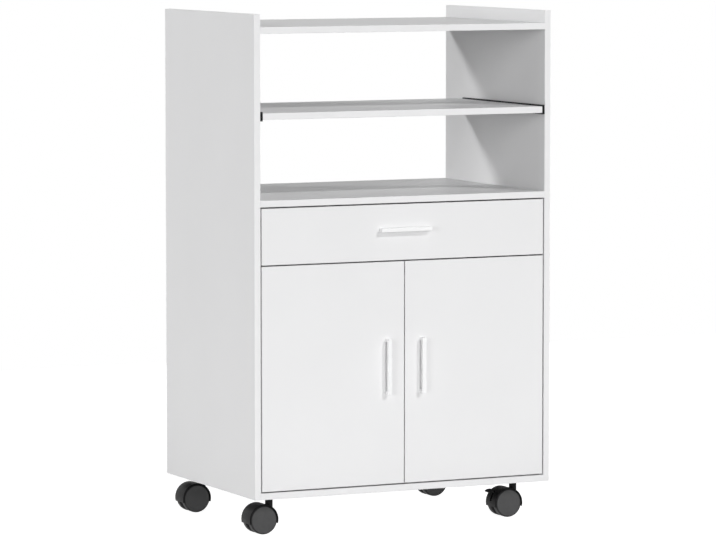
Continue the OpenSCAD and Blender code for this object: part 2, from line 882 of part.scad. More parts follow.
// Room inside the middle wall for the brake lever, its pins and its cross bar
module brake_slot() {
    pivot_room = lever_r + lever_gap + slot_ease;
    shoe_room = norm(shoe_on - shoe_off) / 2 + shoe_r + lever_gap;
    out = hood_r + cut;
    across_y(lever_w + 2 * lever_gap) {
        translate(brake_pivot) circle(pivot_room);
        translate(shoe_mid) circle(shoe_room + slot_ease);
        polygon([
            brake_pivot + polar(pivot_room, 0), shoe_mid + polar(shoe_room, 0),
            shoe_mid + polar(shoe_room + slot_ease, 180), [-out, brake_pivot.y - slot_down],
            [-out, brake_pivot.y + slot_up], brake_pivot + polar(pivot_room, slot_a)
        ]);
    }
    across_y(core_w + cut) {
        translate(brake_pivot) circle(brake_pin_r + pivot_fit);
        translate(shoe_mid) circle(shoe_room);
    }
}

// The pedal arches over from its root to a drooping round tip
module pedal_outline() {
    translate(pedal_bend) {
        intersection() {
            difference() {
                circle(pedal_bend_r + pedal_t / 2, $fn = round_fn);
                circle(pedal_bend_r - pedal_t / 2, $fn = round_fn);
            }
            polygon([
                [0, 0], polar(2 * pedal_bend_r, pedal_root_a), polar(2 * pedal_bend_r, pedal_tip_a)
            ]);
        }
        translate(polar(pedal_bend_r, pedal_tip_a)) circle(d = pedal_t);
    }
}

module brake_lever(spot) {
    color(black_plastic) at_axle(spot) {
        across_y(lever_w) {
            translate(brake_pivot) circle(lever_r);
            translate(shoe_off) circle(shoe_r + shoe_wall);
            link(brake_pivot, shoe_off, lever_t);
            link(brake_pivot, pedal_root, pedal_t);
        }
        across_y(pedal_w) pedal_outline();
        across_y(core_w - 2 * brake_pin_in) translate(brake_pivot) circle(brake_pin_r);
        across_y(shoe_l) translate(shoe_off) circle(shoe_r);
    }
}

module axle(spot) {
    l = 2 * wheel_out_y - 2 * axle_cap;
    color(steel) at_axle(spot) translate([0, -l / 2, 0]) bar_y(axle_d, l);
}

// Wheel with a closed outer face, a hub and a ring-shaped hollow on the inside.
// Face -1 is the front one of the pair, face 1 the rear one.
module wheel(spot, face) {
    color(grey_plastic) at_axle(spot) mirror([0, face < 0 ? 1 : 0, 0])
        translate([0, wheel_in_y, 0]) rotate([-90, 0, 0]) difference() {
            rotate_extrude($fn = round_fn) polygon([
                [0, 0], [hub_d / 2, 0], [hub_d / 2, wheel_w - disc_t],
                [wheel_r - rim_t, wheel_w - disc_t], [wheel_r - rim_t, 0],
                [wheel_r - rim_bevel, 0], [wheel_r, rim_bevel], [wheel_r, wheel_w - edge_round],
                [wheel_r - edge_round, wheel_w], [0, wheel_w]
            ]);
            translate([0, 0, -cut])
                cylinder(d = axle_d + 2 * pivot_fit, h = wheel_w - axle_cap + fit + cut);
        }
}

side_panel(left);  // left_side_panel
side_panel(right);  // right_side_panel
bottom_panel();
fixed_shelf();
top_panel();
back_panel();
cam_locks();
cam_bolts();
wood_dowels();
shelf_rail(left);  // left_shelf_rail
shelf_rail(right);  // right_shelf_rail
drawer_rail(left);  // left_drawer_rail
drawer_rail(right);  // right_drawer_rail
hinge_plates();
hinge_arms();
carcass_screws();
caster_plates();
caster_screws();
pullout_shelf();
shelf_slide(left);  // left_shelf_slide
shelf_slide(right);  // right_shelf_slide
shelf_slide_screws();
drawer_front();
drawer_side(left);  // drawer_left_side
drawer_side(right);  // drawer_right_side
drawer_back();
drawer_bottom();
drawer_handle();
drawer_slide(left);  // left_drawer_slide
drawer_slide(right);  // right_drawer_slide
drawer_screws();
drawer_cams();
door(left);  // left_door
door_handle(left);  // left_door_handle
hinge_cups(left);  // left_hinge_cups
hinge_pins(left);  // left_hinge_pins
door_screws(left);  // left_door_screws
door(right);  // right_door
door_handle(right);  // right_door_handle
hinge_cups(right);  // right_hinge_cups
hinge_pins(right);  // right_hinge_pins
door_screws(right);  // right_door_screws
caster_hood(front_left, false);  // front_left_caster_hood
caster_hood(front_right, true);  // front_right_caster_hood
caster_hood(rear_left, false);  // rear_left_caster_hood
caster_hood(rear_right, true);  // rear_right_caster_hood
axle(front_left);  // front_left_axle
axle(front_right);  // front_right_axle
axle(rear_left);  // rear_left_axle
axle(rear_right);  // rear_right_axle
wheel(front_left, -1);  // front_left_wheel_a
wheel(front_left, 1);  // front_left_wheel_b
wheel(front_right, -1);  // front_right_wheel_a
wheel(front_right, 1);  // front_right_wheel_b
wheel(rear_left, -1);  // rear_left_wheel_a
wheel(rear_left, 1);  // rear_left_wheel_b
wheel(rear_right, -1);  // rear_right_wheel_a
wheel(rear_right, 1);  // rear_right_wheel_b
brake_lever(front_right);  // front_right_brake
brake_lever(rear_right);  // rear_right_brake
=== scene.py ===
import json
import math

import bmesh
import bpy
from mathutils import Matrix, Vector


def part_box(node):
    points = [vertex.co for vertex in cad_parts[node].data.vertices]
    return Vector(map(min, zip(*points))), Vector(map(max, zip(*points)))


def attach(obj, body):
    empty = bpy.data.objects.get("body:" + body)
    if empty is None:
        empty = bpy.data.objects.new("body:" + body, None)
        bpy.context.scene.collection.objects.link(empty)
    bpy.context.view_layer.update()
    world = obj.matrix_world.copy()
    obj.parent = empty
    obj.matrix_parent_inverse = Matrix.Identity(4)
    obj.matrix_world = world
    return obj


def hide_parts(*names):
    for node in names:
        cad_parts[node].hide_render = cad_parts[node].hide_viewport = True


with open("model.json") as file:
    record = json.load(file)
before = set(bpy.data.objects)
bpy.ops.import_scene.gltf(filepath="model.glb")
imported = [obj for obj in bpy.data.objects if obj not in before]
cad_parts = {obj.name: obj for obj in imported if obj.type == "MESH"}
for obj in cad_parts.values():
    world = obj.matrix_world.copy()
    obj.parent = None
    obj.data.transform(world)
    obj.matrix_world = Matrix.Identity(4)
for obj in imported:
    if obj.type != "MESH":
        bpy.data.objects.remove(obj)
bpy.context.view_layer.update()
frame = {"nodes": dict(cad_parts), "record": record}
nodes = frame["nodes"]
mm = 0.001

CORNERS = ("front_left", "front_right", "rear_left", "rear_right")
BRAKED = ("front_right", "rear_right")

# ---------------------------------------------------------------- camera

CAMERA_PLACE = (-3.4068, -7.1044, 1.1625)
CAMERA_TURN = math.radians(25.619)
CAMERA_PITCH = math.radians(5.110)
CAMERA_LENS = 213.23
SENSOR = 36.0


def make_camera():
    """A long lens in front and to the left of the cart, matched to the photo."""
    data = bpy.data.cameras.new("camera")
    data.lens = CAMERA_LENS
    data.sensor_width = SENSOR
    data.clip_end = 100
    camera = bpy.data.objects.new("camera", data)
    camera.location = CAMERA_PLACE
    camera.rotation_euler = (math.pi / 2 - CAMERA_PITCH, 0, -CAMERA_TURN)
    bpy.context.scene.collection.objects.link(camera)
    bpy.context.scene.camera = camera


make_camera()

# ---------------------------------------------------------------- node graphs

# The part of a noise's values that most of it lies in
NOISE_LOW = 0.3
NOISE_HIGH = 0.7


class Graph:
    """A material's node tree, with short calls for the nodes used here."""

    def __init__(self, name):
        self.material = bpy.data.materials.new(name)
        self.material.use_nodes = True
        self.tree = self.material.node_tree
        self.shader = self.tree.nodes["Principled BSDF"]
        self.place = self.add("ShaderNodeTexCoord").outputs["Object"]

    def add(self, kind, **settings):
        node = self.tree.nodes.new(kind)
        for key, value in settings.items():
            setattr(node, key, value)
        return node

    def link(self, source, target):
        self.tree.links.new(source, target)

    def stretched(self, scale):
        """The object's own coordinates, scaled by an amount for each axis."""
        mapping = self.add("ShaderNodeMapping")
        mapping.inputs["Scale"].default_value = scale
        self.link(self.place, mapping.inputs["Vector"])
        return mapping.outputs["Vector"]

    def noise(self, scale, detail, where=None):
        node = self.add("ShaderNodeTexNoise")
        node.inputs["Scale"].default_value = scale
        node.inputs["Detail"].default_value = detail
        self.link(where or self.place, node.inputs["Vector"])
        return node.outputs["Fac"]

    def ranged(self, noise, low, high):
        """Spreads a noise from low to high."""
        node = self.add("ShaderNodeMapRange")
        node.inputs["From Min"].default_value = NOISE_LOW
        node.inputs["From Max"].default_value = NOISE_HIGH
        node.inputs["To Min"].default_value = low
        node.inputs["To Max"].default_value = high
        self.link(noise, node.inputs["Value"])
        return node.outputs["Result"]

    def blend(self, share, first, second):
        """Two colours mixed by a share."""
        node = self.add("ShaderNodeMix", data_type="RGBA")
        for name, color in (("A", first), ("B", second)):
            socket = [s for s in node.inputs if s.name == name and s.type == "RGBA"][0]
            socket.default_value = (*color, 1)
        self.link(share, node.inputs["Factor"])
        return [s for s in node.outputs if s.type == "RGBA"][0]

    def math(self, kind, first, second):
        node = self.add("ShaderNodeMath", operation=kind)
        for i, value in enumerate((first, second)):
            if isinstance(value, (int, float)):
                node.inputs[i].default_value = value
            else:
                self.link(value, node.inputs[i])
        return node.outputs["Value"]

    def relief(self, height, depth, strength):
        """Bump from a height between 0 and 1, depth metres deep."""
        node = self.add("ShaderNodeBump")
        node.inputs["Distance"].default_value = depth
        node.inputs["Strength"].default_value = strength
        self.link(height, node.inputs["Height"])
        self.link(node.outputs["Normal"], self.shader.inputs["Normal"])

    def clouded(self, noise, first, second):
        """Base colour that wanders between two with a noise."""
        color = self.blend(self.ranged(noise, 0, 1), first, second)
        self.link(color, self.shader.inputs["Base Color"])

    def roughness(self, socket):
        self.link(socket, self.shader.inputs["Roughness"])

    def set(self, **values):
        for key, value in values.items():
            self.shader.inputs[key.replace("_", " ")].default_value = value


def shade(color, factor):
    """A colour made lighter or darker."""
    return tuple(c * factor for c in color)


# ---------------------------------------------------------------- materials

BOARD_WHITE = (0.84, 0.84, 0.845)


def board_foil():
    """White melamine foil: nearly even, with a faint cloud and a fine pebble."""
    g = Graph("board_foil")
    g.clouded(g.noise(7, 3), shade(BOARD_WHITE, 0.985), BOARD_WHITE)
    g.roughness(g.ranged(g.noise(260, 2), 0.40, 0.48))
    g.relief(g.noise(1500, 2), 0.02 * mm, 0.35)
    g.set(Specular_IOR_Level=0.3)
    return g.material


def edge_band():
    """Edge band in the foil's colour, a little smoother, with fine lines along it."""
    g = Graph("edge_band")
    g.clouded(g.noise(30, 2), shade(BOARD_WHITE, 0.99), shade(BOARD_WHITE, 1.012))
    g.roughness(g.ranged(g.noise(400, 2), 0.34, 0.42))
    g.relief(g.noise(1, 2, g.stretched((2500, 2500, 90))), 0.02 * mm, 0.3)
    g.set(Specular_IOR_Level=0.3)
    return g.material


def hardboard():
    """Painted hardboard: short flecks of fibre under the paint."""
    g = Graph("painted_hardboard")
    flecks = g.noise(1, 4, g.stretched((420, 420, 160)))
    g.clouded(flecks, (0.74, 0.735, 0.72), (0.81, 0.808, 0.80))
    g.roughness(g.ranged(g.noise(200, 2), 0.5, 0.65))
    g.relief(flecks, 0.08 * mm, 0.5)
    return g.material


def metal(name, color, rough, pit_scale=900, pit_depth=0.03):
    """Plated metal with cloudy roughness and fine pits."""
    g = Graph(name)
    g.clouded(g.noise(120, 3), shade(color, 0.9), color)
    g.roughness(g.ranged(g.noise(350, 3), rough - 0.06, rough + 0.08))
    g.relief(g.noise(pit_scale, 2), pit_depth * mm, 0.4)
    g.set(Metallic=1.0)
    return g.material


def beech():
    """Plain beech with its grain along the dowel."""
    g = Graph("beech")
    grain = g.noise(1, 5, g.stretched((60, 1400, 1400)))
    g.clouded(grain, (0.50, 0.31, 0.15), (0.66, 0.45, 0.25))
    g.roughness(g.ranged(grain, 0.55, 0.7))
    g.relief(grain, 0.1 * mm, 0.5)
    return g.material


def coated_steel(name, color, rough, sheen=0.5):
    """Powder-coated steel with a fine orange peel."""
    g = Graph(name)
    g.clouded(g.noise(90, 2), shade(color, 0.93), color)
    g.roughness(g.ranged(g.noise(300, 2), rough - 0.05, rough + 0.06))
    g.relief(g.noise(1100, 1), 0.06 * mm, 0.4)
    g.set(Specular_IOR_Level=sheen)
    return g.material


def satin_coat():
    """Silvery white coat of the handles."""
    g = Graph("satin_coat")
    g.clouded(g.noise(150, 2), (0.90, 0.90, 0.905), (0.93, 0.93, 0.935))
    g.roughness(g.ranged(g.noise(500, 2), 0.28, 0.36))
    g.relief(g.noise(2200, 1), 0.02 * mm, 0.3)
    g.set(Metallic=0.15, Coat_Weight=0.3, Coat_Roughness=0.12)
    return g.material


def moulded(name, color, rough, sheen, grain=1400, depth=0.05):
    """Moulded plastic with a fine spark-eroded grain."""
    g = Graph(name)
    g.clouded(g.noise(60, 2), shade(color, 0.88), color)
    g.roughness(g.ranged(g.noise(250, 2), rough - 0.04, rough + 0.06))
    g.relief(g.noise(grain, 2), depth * mm, 0.35)
    g.set(Specular_IOR_Level=sheen)
    return g.material


FINISHES = {
    "white_board": board_foil(),
    "white_hardboard": hardboard(),
    "zinc": metal("zinc_casting", (0.60, 0.61, 0.63), 0.38),
    "beech": beech(),
    "black_rail": coated_steel("black_coat", (0.008, 0.008, 0.009), 0.45, 0.2),
    "white_rail": coated_steel("white_coat", (0.72, 0.72, 0.71), 0.35),
    "nickel": metal("nickel_plate", (0.66, 0.65, 0.63), 0.24, 700, 0.01),
    "screw_steel": metal("zinc_plate", (0.62, 0.64, 0.66), 0.3),
    "plate_steel": metal("pressed_steel", (0.50, 0.51, 0.52), 0.36),
    "satin_handle": satin_coat(),
    "hood_plastic": moulded("black_plastic", (0.007, 0.007, 0.0075), 0.4, 0.12),
    "axle_steel": metal("axle_steel", (0.60, 0.61, 0.62), 0.25),
    "wheel_plastic": moulded("grey_nylon", (0.062, 0.062, 0.063), 0.46, 0.4),
}
BAND = edge_band()
TREAD = moulded("dark_tread", (0.022, 0.022, 0.023), 0.55, 0.3, 700, 0.08)

slot_of = {row["node"]: row["material_slot"] for row in frame["record"]["subparts"]}
body_of = {n: b for b, members in frame["record"]["behaviour"]["bodies"].items() for n in members}

for node, obj in nodes.items():
    obj.data.materials.clear()
    obj.data.materials.append(FINISHES[slot_of[node]])

# ---------------------------------------------------------------- meshes

# Points closer than WELD are one. Faces that meet under FLAT are one face, under SOFT they are
# parts of a curve, and over SHARP they meet in an edge that shows.
WELD = 0.002 * mm
FLAT = math.radians(0.5)
SOFT = math.radians(25)
SHARP = math.radians(38)
# The curves of carved meshes are finer, so their faces have to be flatter to be one
CARVED_FLAT = FLAT / 5


def new_piece(name, mesh, node, *finishes):
    """A piece that stands for a CAD node, on that node's body and in its finish."""
    obj = bpy.data.objects.new(name, mesh)
    bpy.context.scene.collection.objects.link(obj)
    for finish in finishes or (FINISHES[slot_of[node]],):
        mesh.materials.append(finish)
    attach(obj, body_of[node])
    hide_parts(node)
    return obj


def set_shading(bm, rounded=()):
    """Curved walls and rounded edges are smooth, flat faces flat."""
    for face in bm.faces:
        face.smooth = False
    for edge in bm.edges:
        angle = edge.calc_face_angle(math.pi)
        edge.smooth = angle < SHARP
        if FLAT < angle < SOFT:
            for face in edge.link_faces:
                face.smooth = True
    for face in rounded:
        face.smooth = True


def cad_copy(node):
    """The node's mesh, welded and with its flat faces whole."""
    bm = bmesh.new()
    bm.from_mesh(nodes[node].data)
    bmesh.ops.remove_doubles(bm, verts=bm.verts, dist=WELD)
    bmesh.ops.dissolve_limit(bm, angle_limit=FLAT, verts=bm.verts, edges=bm.edges)
    return bm


def round_edges(bm, width, segments=2, shortest=4 * mm):
    """Rounds the long sharp edges and returns the new faces."""
    edges = [
        e for e in bm.edges
        if e.is_manifold and e.calc_length() > shortest and e.calc_face_angle(0) > SHARP
    ]
    made = bmesh.ops.bevel(bm, geom=edges, offset=width, segments=segments, profile=0.5,
                           affect="EDGES", clamp_overlap=True)
    return made["faces"]


def to_mesh(bm, name):
    """A mesh from a bmesh, which is freed."""
    mesh = bpy.data.meshes.new(name)
    bm.to_mesh(mesh)
    bm.free()
    return mesh


# ---------------------------------------------------------------- boards

# Each board's thin direction: its edges carry the edge band
BOARDS = {
    "left_side_panel": 0, "right_side_panel": 0, "bottom_panel": 2, "fixed_shelf": 2,
    "top_panel": 2, "pullout_shelf": 2, "drawer_front": 1, "drawer_left_side": 0,
    "drawer_right_side": 0, "drawer_back": 1, "left_door": 1, "right_door": 1,
}
BOARD_ROUND = 0.4 * mm
SHORTEST_ROUNDED = 20 * mm
# A rim face that looks this much along the thin direction is foil, not band
FACING = 0.9


def make_board(node, thin):
    """A board with rounded, banded edges."""
    bm = cad_copy(node)
    rounded = round_edges(bm, BOARD_ROUND, shortest=SHORTEST_ROUNDED)
    low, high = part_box(node)
    for face in bm.faces:
        middle = face.calc_center_median()
        on_rim = any(min(middle[i] - low[i], high[i] - middle[i]) < BOARD_ROUND
                     for i in range(3) if i != thin)
        face.material_index = int(on_rim and abs(face.normal[thin]) < FACING)
    set_shading(bm, [f for f in rounded if f.is_valid])
    new_piece(node + "_board", to_mesh(bm, node), node, FINISHES["white_board"], BAND)


for node, thin in BOARDS.items():
    make_board(node, thin)

# ---------------------------------------------------------------- metal and plastic pieces

# Edge rounding in mm
ROUNDED = {
    "drawer_handle": 0.8, "left_door_handle": 0.8, "right_door_handle": 0.8,
    "left_shelf_rail": 0.25, "right_shelf_rail": 0.25,
    "left_shelf_slide": 0.4, "right_shelf_slide": 0.4,
    "left_drawer_rail": 0.25, "right_drawer_rail": 0.25,
    "left_drawer_slide": 0.25, "right_drawer_slide": 0.25,
    "hinge_plates": 0.3, "hinge_arms": 0.3, "left_hinge_cups": 0.2, "right_hinge_cups": 0.2,
    "caster_plates": 0.4,
}


def make_rounded(node, width):
    """A node's own shape with its edges rounded."""
    bm = cad_copy(node)
    rounded = round_edges(bm, width * mm, segments=3)
    set_shading(bm, [f for f in rounded if f.is_valid])
    new_piece(node + "_part", to_mesh(bm, node), node)


for node, width in ROUNDED.items():
    make_rounded(node, width)

# ---------------------------------------------------------------- turned, straight and cut shapes

EASE_STEPS = 4
DISC_STEPS = 32
ON_AXIS = 1e-6


def eased(corners):
    """Outline through (x, y, rounding) corners, each corner turned into a smooth curve."""
    points = []
    for i, (x, y, rounding) in enumerate(corners):
        here = Vector((x, y))
        if not rounding:
            points.append(here)
            continue
        before = Vector(corners[i - 1][:2])
        after = Vector(corners[(i + 1) % len(corners)][:2])
        start = here + (before - here).normalized() * rounding
        end = here + (after - here).normalized() * rounding
        for k in range(EASE_STEPS + 1):
            t = k / EASE_STEPS
            points.append(start * (1 - t) ** 2 + here * 2 * t * (1 - t) + end * t ** 2)
    return points


def lathe(corners, steps, at=(0, 0, 0), axis="Z"):
    """Turns an outline, from the axis back to it, of (radius, height, rounding) corners in mm."""
    turn = {"Z": Matrix.Identity(4), "Y": Matrix.Rotation(-math.pi / 2, 4, "X"),
            "-Y": Matrix.Rotation(math.pi / 2, 4, "X")}[axis]
    place = Matrix.Translation(at) @ turn
    bm = bmesh.new()
    rings = []
    for radius, height in eased(corners):
        if radius < ON_AXIS:
            rings.append([bm.verts.new(place @ Vector((0, 0, height * mm)))])
            continue
        ring = []
        for k in range(steps):
            a = 2 * math.pi * k / steps
            point = Vector((radius * mm * math.cos(a), radius * mm * math.sin(a), height * mm))
            ring.append(bm.verts.new(place @ point))
        rings.append(ring)
    for low, high in zip(rings, rings[1:]):
        for k in range(steps):
            n = (k + 1) % steps
            loop = [low[k % len(low)], low[n % len(low)], high[n % len(high)], high[k % len(high)]]
            bm.faces.new(list(dict.fromkeys(loop)))
    bmesh.ops.recalc_face_normals(bm, faces=bm.faces)
    return bm


def rod(radius, start, end, start_round=0, end_round=0):
    """Outline of a rod, for lathe."""
    return [(0, start, 0), (radius, start, start_round), (radius, end, end_round), (0, end, 0)]


def box_mesh(low, high):
    """A box between two corners."""
    bm = bmesh.new()
    bmesh.ops.create_cube(bm, size=1)
    for v in bm.verts:
        v.co = Vector(high[i] if v.co[i] > 0 else low[i] for i in range(3))
    return bm


def prism(outline, width):
    """An outline of (x, z) points in mm, made width wide along Y and centred on the axle."""
    bm = bmesh.new()
    sides = [[bm.verts.new(Vector((x, y, z)) * mm) for x, z in outline]
             for y in (-width / 2, width / 2)]
    bm.faces.new(sides[0])
    bm.faces.new(sides[1][::-1])
    for k in range(len(outline)):
        n = (k + 1) % len(outline)
        bm.faces.new([sides[0][n], sides[0][k], sides[1][k], sides[1][n]])
    bmesh.ops.recalc_face_normals(bm, faces=bm.faces)
    return bm


def carve(bm, *steps):
    """Adds or cuts other meshes: each step is ("UNION" or "DIFFERENCE", mesh)."""
    base = bpy.data.objects.new("carved", to_mesh(bm, "carved"))
    bpy.context.scene.collection.objects.link(base)
    tools = []
    for operation, tool_bm in steps:
        tool = bpy.data.objects.new("tool", to_mesh(tool_bm, "tool"))
        bpy.context.scene.collection.objects.link(tool)
        tools.append(tool)
        modifier = base.modifiers.new("carve", "BOOLEAN")
        modifier.operation = operation
        modifier.solver = "EXACT"
        modifier.object = tool
    made = base.evaluated_get(bpy.context.evaluated_depsgraph_get()).to_mesh()
    result = bmesh.new()
    result.from_mesh(made)
    for obj in (base, *tools):
        mesh = obj.data
        bpy.data.objects.remove(obj)
        bpy.data.meshes.remove(mesh)
    bmesh.ops.remove_doubles(result, verts=result.verts, dist=WELD)
    bmesh.ops.dissolve_limit(result, angle_limit=CARVED_FLAT, verts=result.verts,
                              edges=result.edges)
    return result


# ---------------------------------------------------------------- screws

SCREW_STEPS = 32
THINNEST_SHANK = 0.5 * mm
# In mm: a head flatter than FLATTEST_PAN is a countersunk one
FLATTEST_PAN = 0.5
COUNTERSINK = 1.2
COUNTERSUNK_EASE = 0.12
# Shares of the head's radius
OUTER_RING = 0.9
CROWN = 0.55
CROWN_EASE = 0.3
CROSS_REACH = 0.55
CROSS_WIDTH = 0.13
CROSS_DEPTH = 0.42
# Shares of the head's height: where its side starts to curve in, and how far the curve runs
PAN_SIDE = 0.5
PAN_EASE = 0.35
# The thread's tip: its length and its end, as shares of the shank's radius
TIP_LENGTH = 1.5
TIP_END = 0.15
# The foot of the cross as a share of its mouth, along and across each arm
FOOT_ALONG = 0.45
FOOT_ACROSS = 0.8


def islands(bm):
    """The vertices of each separate solid, in the mesh's own order."""
    seen = set()
    found = []
    for first in bm.verts:
        if first in seen:
            continue
        seen.add(first)
        group = [first]
        for v in group:
            for e in v.link_edges:
                other = e.other_vert(v)
                if other not in seen:
                    seen.add(other)
                    group.append(other)
        found.append(group)
    return found


def screw_facts(group):
    """Where a screw's head is, which way it faces, and its sizes in mm."""
    points = [v.co for v in group]
    low = Vector(min(p[i] for p in points) for i in range(3))
    high = Vector(max(p[i] for p in points) for i in range(3))
    size = high - low
    along = max(range(3), key=lambda i: size[i])
    middle = (low + high) / 2
    radii = [math.hypot(*(p[i] - middle[i] for i in range(3) if i != along)) for p in points]
    head_r = max(radii)
    wide = [p[along] for p, r in zip(points, radii) if r > OUTER_RING * head_r]
    upward = sum(wide) / len(wide) > middle[along]
    place = middle.copy()
    place[along] = high[along] if upward else low[along]
    facing = Vector((0, 0, 0))
    facing[along] = 1 if upward else -1
    shank_r = min(r for r in radii if r > THINNEST_SHANK)
    head_h = max(wide) - min(wide)
    return place, facing, head_r / mm, shank_r / mm, size[along] / mm, head_h / mm


def make_screw(head_r, shank_r, length, head_h):
    """One cross-head screw, its head's top at the origin, pointing down."""
    tip = TIP_LENGTH * shank_r
    if head_h > FLATTEST_PAN:
        outline = [(0, 0, 0), (head_r * CROWN, 0, head_r * CROWN_EASE),
                   (head_r, -head_h * PAN_SIDE, head_h * PAN_EASE),
                   (head_r, -head_h, 0), (shank_r, -head_h, 0)]
    else:
        outline = [(0, 0, 0), (head_r, 0, COUNTERSUNK_EASE), (shank_r, -COUNTERSINK, 0)]
    outline += [(shank_r, tip - length, 0), (shank_r * TIP_END, -length, 0), (0, -length, 0)]
    reach, width, depth = head_r * CROSS_REACH, head_r * CROSS_WIDTH, head_r * CROSS_DEPTH
    slots = []
    for x, y in ((reach, width), (width, reach)):
        slot = box_mesh((-x * mm, -y * mm, -depth * mm), (x * mm, y * mm, mm))
        for v in slot.verts:
            if v.co.z < 0:
                v.co.x *= FOOT_ALONG if x > y else FOOT_ACROSS
                v.co.y *= FOOT_ALONG if y > x else FOOT_ACROSS
        slots.append(("DIFFERENCE", slot))
    bm = carve(lathe(outline, SCREW_STEPS), *slots)
    set_shading(bm)
    return to_mesh(bm, "screw")


SCREWS = {}


def make_screws(node):
    """Cross-head screws in the places of the node's solids."""
    source = bmesh.new()
    source.from_mesh(nodes[node].data)
    bmesh.ops.remove_doubles(source, verts=source.verts, dist=WELD)
    made = bmesh.new()
    for group in islands(source):
        place, facing, *sizes = screw_facts(group)
        key = tuple(round(v, 1) for v in sizes)
        if key not in SCREWS:
            SCREWS[key] = make_screw(*key)
        copy = SCREWS[key].copy()
        turn = facing.to_track_quat("Z", "Y").to_matrix().to_4x4()
        copy.transform(Matrix.Translation(place) @ turn)
        made.from_mesh(copy)
        bpy.data.meshes.remove(copy)
    source.free()
    new_piece(node + "_cross_head", to_mesh(made, node), node)


for node in ("carcass_screws", "caster_screws", "shelf_slide_screws", "drawer_screws",
             "left_door_screws", "right_door_screws"):
    make_screws(node)

# ---------------------------------------------------------------- casters

WHEEL_STEPS = 128
BOSS_STEPS = 48
NECK_STEPS = 64
BORE_STEPS = 32
AXLE_R = 3.08
HUB_R = 11.0
RIM_T = 6.0
DISC_T = 3.0
CAP_T = 1.9
TREAD_T = 2.2
TREAD_GAP = 0.3
TREAD_EDGE = 0.1
CORE_HALF = 6.0
TRAIL = 18.0


def wheel_outline(r, w):
    """Half section of a wheel of radius r and width w, from its inner side to its domed face."""
    rim = r - RIM_T
    tread = r - TREAD_T
    lip = tread - TREAD_GAP
    bore = [(0, w - CAP_T, 0), (AXLE_R, w - CAP_T, 0), (AXLE_R, 0, 0)]
    hollow = [(HUB_R, 0, 0.4), (HUB_R, w - DISC_T, 0.8), (rim, w - DISC_T, 0.8), (rim, 0, 0.3)]
    tyre = [(r - 0.5, 0, 0.2), (r, 0.8, 0.3), (r, w - 2.2, 1.5), (tread, w - 0.5, 0.5)]
    groove = [(tread, w - 1.3, 0), (lip, w - 1.3, 0), (lip, w - 0.6, 0.3)]
    dome = [(lip - 1.6, w - 0.5, 0.2), (lip - 2.0, w - 0.9, 0.2), (r * 0.4, w - 0.1, 3.0),
            (0, w, 0)]
    return bore + hollow + tyre + groove + dome


def make_wheel(node):
    """A wheel with its domed face outwards, on the outer side of its caster."""
    low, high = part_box(node)
    r, w = (high.z - low.z) / 2 / mm, (high.y - low.y) / mm
    middle = (low + high) / 2
    backward = node.endswith("_b")
    at = Vector((middle.x, low.y if backward else high.y, middle.z))
    bm = lathe(wheel_outline(r, w), WHEEL_STEPS, at, "Y" if backward else "-Y")
    for face in bm.faces:
        out = face.calc_center_median() - at
        on_tread = math.hypot(out.x, out.z) > (r - TREAD_T - TREAD_EDGE) * mm
        face.material_index = int(on_tread)
    set_shading(bm)
    new_piece(node + "_disc", to_mesh(bm, node), node, FINISHES["wheel_plastic"], TREAD)


def caster_facts(corner):
    """Axle (a point) and hood's top in m; hood's radius and half width, wheels' radius in mm."""
    low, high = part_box(corner + "_caster_hood")
    wheel_low, wheel_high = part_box(corner + "_wheel_a")
    middle = (wheel_low + wheel_high) / 2
    axle = Vector((middle.x, (low.y + high.y) / 2, middle.z))
    hood_r, half = (high.x - middle.x) / mm, (high.y - low.y) / 2 / mm
    wheel_r = (wheel_high.z - middle.z) / mm
    return axle, high.z, hood_r, half, wheel_r


def polar(r, degrees):
    """The point at a radius and an angle."""
    return Vector((r * math.cos(math.radians(degrees)), r * math.sin(math.radians(degrees))))


def turned(point, degrees):
    """A point turned round the origin."""
    return point @ Matrix.Rotation(-math.radians(degrees), 2)


def disc(middle, r):
    """Points of a circle in X and Z."""
    return [middle + polar(r, 360 * k / DISC_STEPS) for k in range(DISC_STEPS)]


# The brake, in mm and degrees round the axle: its lever turns by SWING round PIVOT, and presses
# the cross bar at its foot, the shoe, against the wheels' hubs
PIVOT = polar(20, 135)
SWING = 14
SHOE_R = 1.5
SHOE_GAP = 0.12
SHOE_CLEARANCE = 0.5
SHOE_PRESSED = polar(HUB_R + SHOE_GAP + SHOE_R, 160)
SHOE = PIVOT + turned(SHOE_PRESSED - PIVOT, -SWING)
SHOE_MIDDLE = (SHOE + SHOE_PRESSED) / 2
SHOE_ROOM = (SHOE - SHOE_PRESSED).length / 2 + SHOE_R + SHOE_CLEARANCE
LEVER_ROOM = 1.0
PIVOT_ROOM = 4.5
BRAKE_PIN_R = 1.5
PIN_ROOM = 0.08
SLOT_W = 6.0
SLOT_BACK = -30
SLOT_DOWN = 12
SLOT_UP = 17
# Cuts overlap, and differ in width, so that no two of them share a wall
OVERLAP = 0.1
WIDER = 0.02
THROUGH = 50


